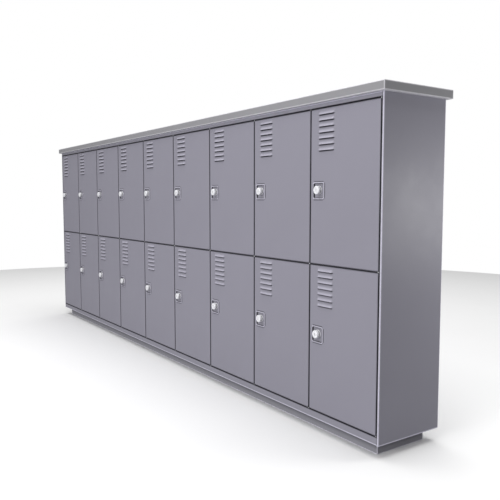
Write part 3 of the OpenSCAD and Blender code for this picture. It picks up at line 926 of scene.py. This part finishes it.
def add_plinth():
    """Four kickboards, folded channels with their backs outwards."""
    width, depth, height = PLINTH_HIGH - PLINTH_LOW
    boards = new_mesh()
    corners = ((PLINTH_LIP, height), (0, height), (0, 0), (PLINTH_LIP, 0))
    # Painted shadow under the casing's overhang: dark at the top of each kickboard's face, fading downwards.
    shape = section(corners, (0, PLINTH_FOLD, PLINTH_FOLD, 0), gaps=(0, 1, 0, 0), painted_shade=PLINTH_PAINTED_SHADOW)
    for turn, out, half in ((0, depth / 2, width / 2), (90, width / 2, depth / 2),
                            (180, depth / 2, width / 2), (270, width / 2, depth / 2)):
        spin = Matrix.Rotation(math.radians(turn), 3, "Z")
        # A painted highlight at each board's ends, down the plinth's corners
        stops = [(-half, 1.0), (PLINTH_END_PAINTED_HIGHLIGHT - half, -1.0), (half - PLINTH_END_PAINTED_HIGHLIGHT, -1.0), (half, 1.0)]

        def mitred(a, b, t):
            return spin @ Vector((t * (1 - (a + SEAM / 2) / half), a - out, b))

        draw_out(boards, shape, stops, mitred)
    mesh = make_mesh(thicken(boards, PLINTH_SHEET), "kickboards", [PLINTH_PAINT])
    add_piece(mesh, "folded_plinth", "cabinet", "plinth")


def add_casing():
    """Ends with rounded front corners, boxed floor and top, and the riveted back."""
    sheet = new_mesh()
    low, high = CASING_LOW, CASING_HIGH
    for side in (-1, 1):
        middle = side * (high.x - END_STILE / 2)
        corners = [(x * END_STILE / 2, y) for x, y in ((-1, low.y), (1, low.y), (1, high.y), (-1, high.y))]
        radii = [END_FOLD if x * side > 0 else END_INNER_FOLD for x, y in corners]
        # Painted shade on the inner side of each end's front corner, beside the door gap
        gaps = (-1, 0, 0, 0) if side > 0 else (0, 1, 0, 0)
        # A painted highlight along the ends' bottom edge
        foot = low.z + FOOT_PAINTED_HIGHLIGHT
        stops = [(low.z, 1.0), (foot, 1.0), (foot + FOOT_FADE, -1.0), (high.z, -1.0)]
        draw_out(sheet, section(corners, radii, closed=True, gaps=gaps), stops,
                 lambda a, b, t: Vector((middle + a, b, t)), closed=True)
    inner = high.x - END_STILE - SEAM
    # The floor and top boxes carry painted shade beside the door gaps
    for z0, z1, fold, gaps in ((low.z, low.z + FLOOR_BOX_H, FLOOR_BOX_FOLD, (0, 0, 0, -1)),
                               (high.z - TOP_BOX_H, high.z, BOX_FOLD, (1, 0, 0, 0))):
        corners = ((low.y, z0), (high.y, z0), (high.y, z1), (low.y, z1))
        draw_out(sheet, section(corners, [fold] + [BOX_FOLD] * 3, closed=True, gaps=gaps),
                 plain_ends(-inner, inner), lambda a, b, t: Vector((t, a, b)), closed=True)
    casing = thicken(sheet, SHEET)
    add_back_panel(casing, inner)
    mesh = make_mesh(casing, "casing_sheets", [BODY_PAINT])
    add_piece(mesh, "folded_casing", "cabinet", "casing")


def add_back_panel(casing, inner):
    """Back sheet with a shallow joint and a line of rivets behind every partition."""
    z0, z1 = CASING_LOW.z + FLOOR_BOX_H + SEAM, CASING_HIGH.z - TOP_BOX_H - SEAM
    width, height = 2 * inner, z1 - z0
    joints = [inner - (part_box(f"door_lower_{column}")[1].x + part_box(f"door_lower_{column + 1}")[0].x) / 2
              for column in range(1, 9)]
    edge = BACK_FOLD + 2 * MM
    us = [BACK_FOLD, edge, width - edge, width - BACK_FOLD]
    for joint in joints:
        us += [joint + step * MM for step in (-2, -1, 0, 1, 2)]
    panel = new_mesh()

    def lift(u, v):
        near = min(abs(u - joint) for joint in joints)
        return (-BACK_JOINT_DEPTH, 0.6) if near < 1.5 * MM else (0.0, 0.0)

    tray(panel, lines(us), [BACK_FOLD, edge, height / 2, height - edge, height - BACK_FOLD],
         [(0.0, BACK_FOLD, 0.6)], lambda u, v, d: Vector((inner - u, CASING_HIGH.y - d, z0 + v)), lift=lift,
         face_wear_and_light=0.4)
    copy_into(casing, thicken(panel, BACK_SHEET))
    head = [circle_ring(radius * MM, rise * MM, 16) for radius, rise in RIVET_PROFILE]
    for joint in joints:
        for row in range(RIVET_ROWS):
            z = z0 + height * (row + 0.5) / RIVET_ROWS
            for aside in (-RIVET_ASIDE, RIVET_ASIDE):
                rings = rear_stud(inner - joint + aside, CASING_HIGH.y, z, head)
                loft(casing, rings, wear_and_light_values=RIVET_WEARS, capped=True)


def finish_cad_node(name, material, bevel):
    """A CAD node that stays: its facets joined up, its edges softened, and its finish."""
    node = frame["nodes"][name]
    node.data.materials.clear()
    node.data.materials.append(material)
    weld = node.modifiers.new("weld", "WELD")
    weld.merge_threshold = 0.01 * MM
    flats = node.modifiers.new("flats", "DECIMATE")
    flats.decimate_type = "DISSOLVE"
    flats.angle_limit = math.radians(1)
    edges = node.modifiers.new("edges", "BEVEL")
    edges.width = bevel
    edges.segments = 2
    edges.limit_method = "ANGLE"
    edges.angle_limit = math.radians(50)


# ---------------------------------------------------------------- studio

def add_studio():
    near_corner = Vector((CASING_HIGH.x, CASING_LOW.y, 0))
    camera_data = bpy.data.cameras.new("photo_view")
    camera_data.lens = CAMERA_LENS
    camera_data.sensor_width = CAMERA_SENSOR
    camera = bpy.data.objects.new("photo_view", camera_data)
    bpy.context.scene.collection.objects.link(camera)
    camera.location = near_corner + Vector(CAMERA_PLACE)
    camera.rotation_euler = [math.radians(a) for a in CAMERA_TURN]
    bpy.context.scene.camera = camera
    bpy.context.scene.view_settings.view_transform = "Standard"

    floor = new_mesh()
    loft(floor, [[(radius * math.cos(a), radius * math.sin(a), 0.0) for a in round_turns(64)]
                 for radius in FLOOR_RADII], capped=True)
    for face in floor.faces:
        if face.normal.z < 0:
            face.normal_flip()
    ground = bpy.data.objects.new("studio_floor", make_mesh(floor, "studio_floor", [pale_floor("floor")]))
    bpy.context.scene.collection.objects.link(ground)

    world = bpy.data.worlds.new("studio")
    bpy.context.scene.world = world
    world.use_nodes = True
    tree = world.node_tree
    path = tree.nodes.new("ShaderNodeLightPath")
    background = tree.nodes["Background"]
    background.inputs["Color"].default_value = (1, 1, 1, 1)
    strength = remap(tree, path.outputs["Is Camera Ray"], 0.0, 1.0, SKY_LIGHT, 1.0)
    tree.links.new(strength, background.inputs["Strength"])
    for softbox in SOFTBOXES:
        add_softbox(*softbox)


def add_softbox(name, place, target, size, watts):
    data = bpy.data.lights.new(name, "AREA")
    data.size = size
    data.energy = watts
    lamp = bpy.data.objects.new(name, data)
    bpy.context.scene.collection.objects.link(lamp)
    lamp.location = place
    lamp.rotation_euler = (Vector(target) - Vector(place)).to_track_quat("-Z", "Y").to_euler()


# ---------------------------------------------------------------- assembly

DOOR_LOW = {tag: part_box(f"door_{tag}")[0] for tag in TAGS}
DOOR_HIGH = {tag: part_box(f"door_{tag}")[1] for tag in TAGS}
AXIS = {tag: Vector(JOINTS[f"lock_turn_{tag}"]["pos_m"]) for tag in TAGS}

add_studio()
add_worktop()
add_plinth()
add_casing()
finish_cad_node("partitions", INNER_PAINT, 0.3 * MM)
finish_cad_node("front_frame", FRAME_PAINTED_SHADE, 0.3 * MM)
finish_cad_node("door_pivots", ZINC, 0.2 * MM)

door_meshes = {}
lock_mesh = coin_lock_mesh()
knob_mesh = cylinder_mesh()
for tag in TAGS:
    low, high, axis = DOOR_LOW[tag], DOOR_HIGH[tag], AXIS[tag]
    width, height = high.x - low.x, high.z - low.z
    kind = (round(width, 4), round(height, 4))
    if kind not in door_meshes:
        door_meshes[kind] = door_mesh(f"door_{tag}_sheet", width, height,
                                      axis.x - low.x, axis.z - CYLINDER_RISE - low.z)
    add_piece(door_meshes[kind], f"folded_door_{tag}", f"door_{tag}", f"door_{tag}",
              (low.x, FACE_Y, low.z))
    add_piece(lock_mesh, f"coin_lock_unit_{tag}", f"door_{tag}", f"coin_lock_{tag}",
              (axis.x, FACE_Y, axis.z - CYLINDER_RISE))
    add_piece(knob_mesh, f"cylinder_lock_{tag}", f"lock_cylinder_{tag}",
              f"lock_cylinder_{tag}", (axis.x, FACE_Y, axis.z))
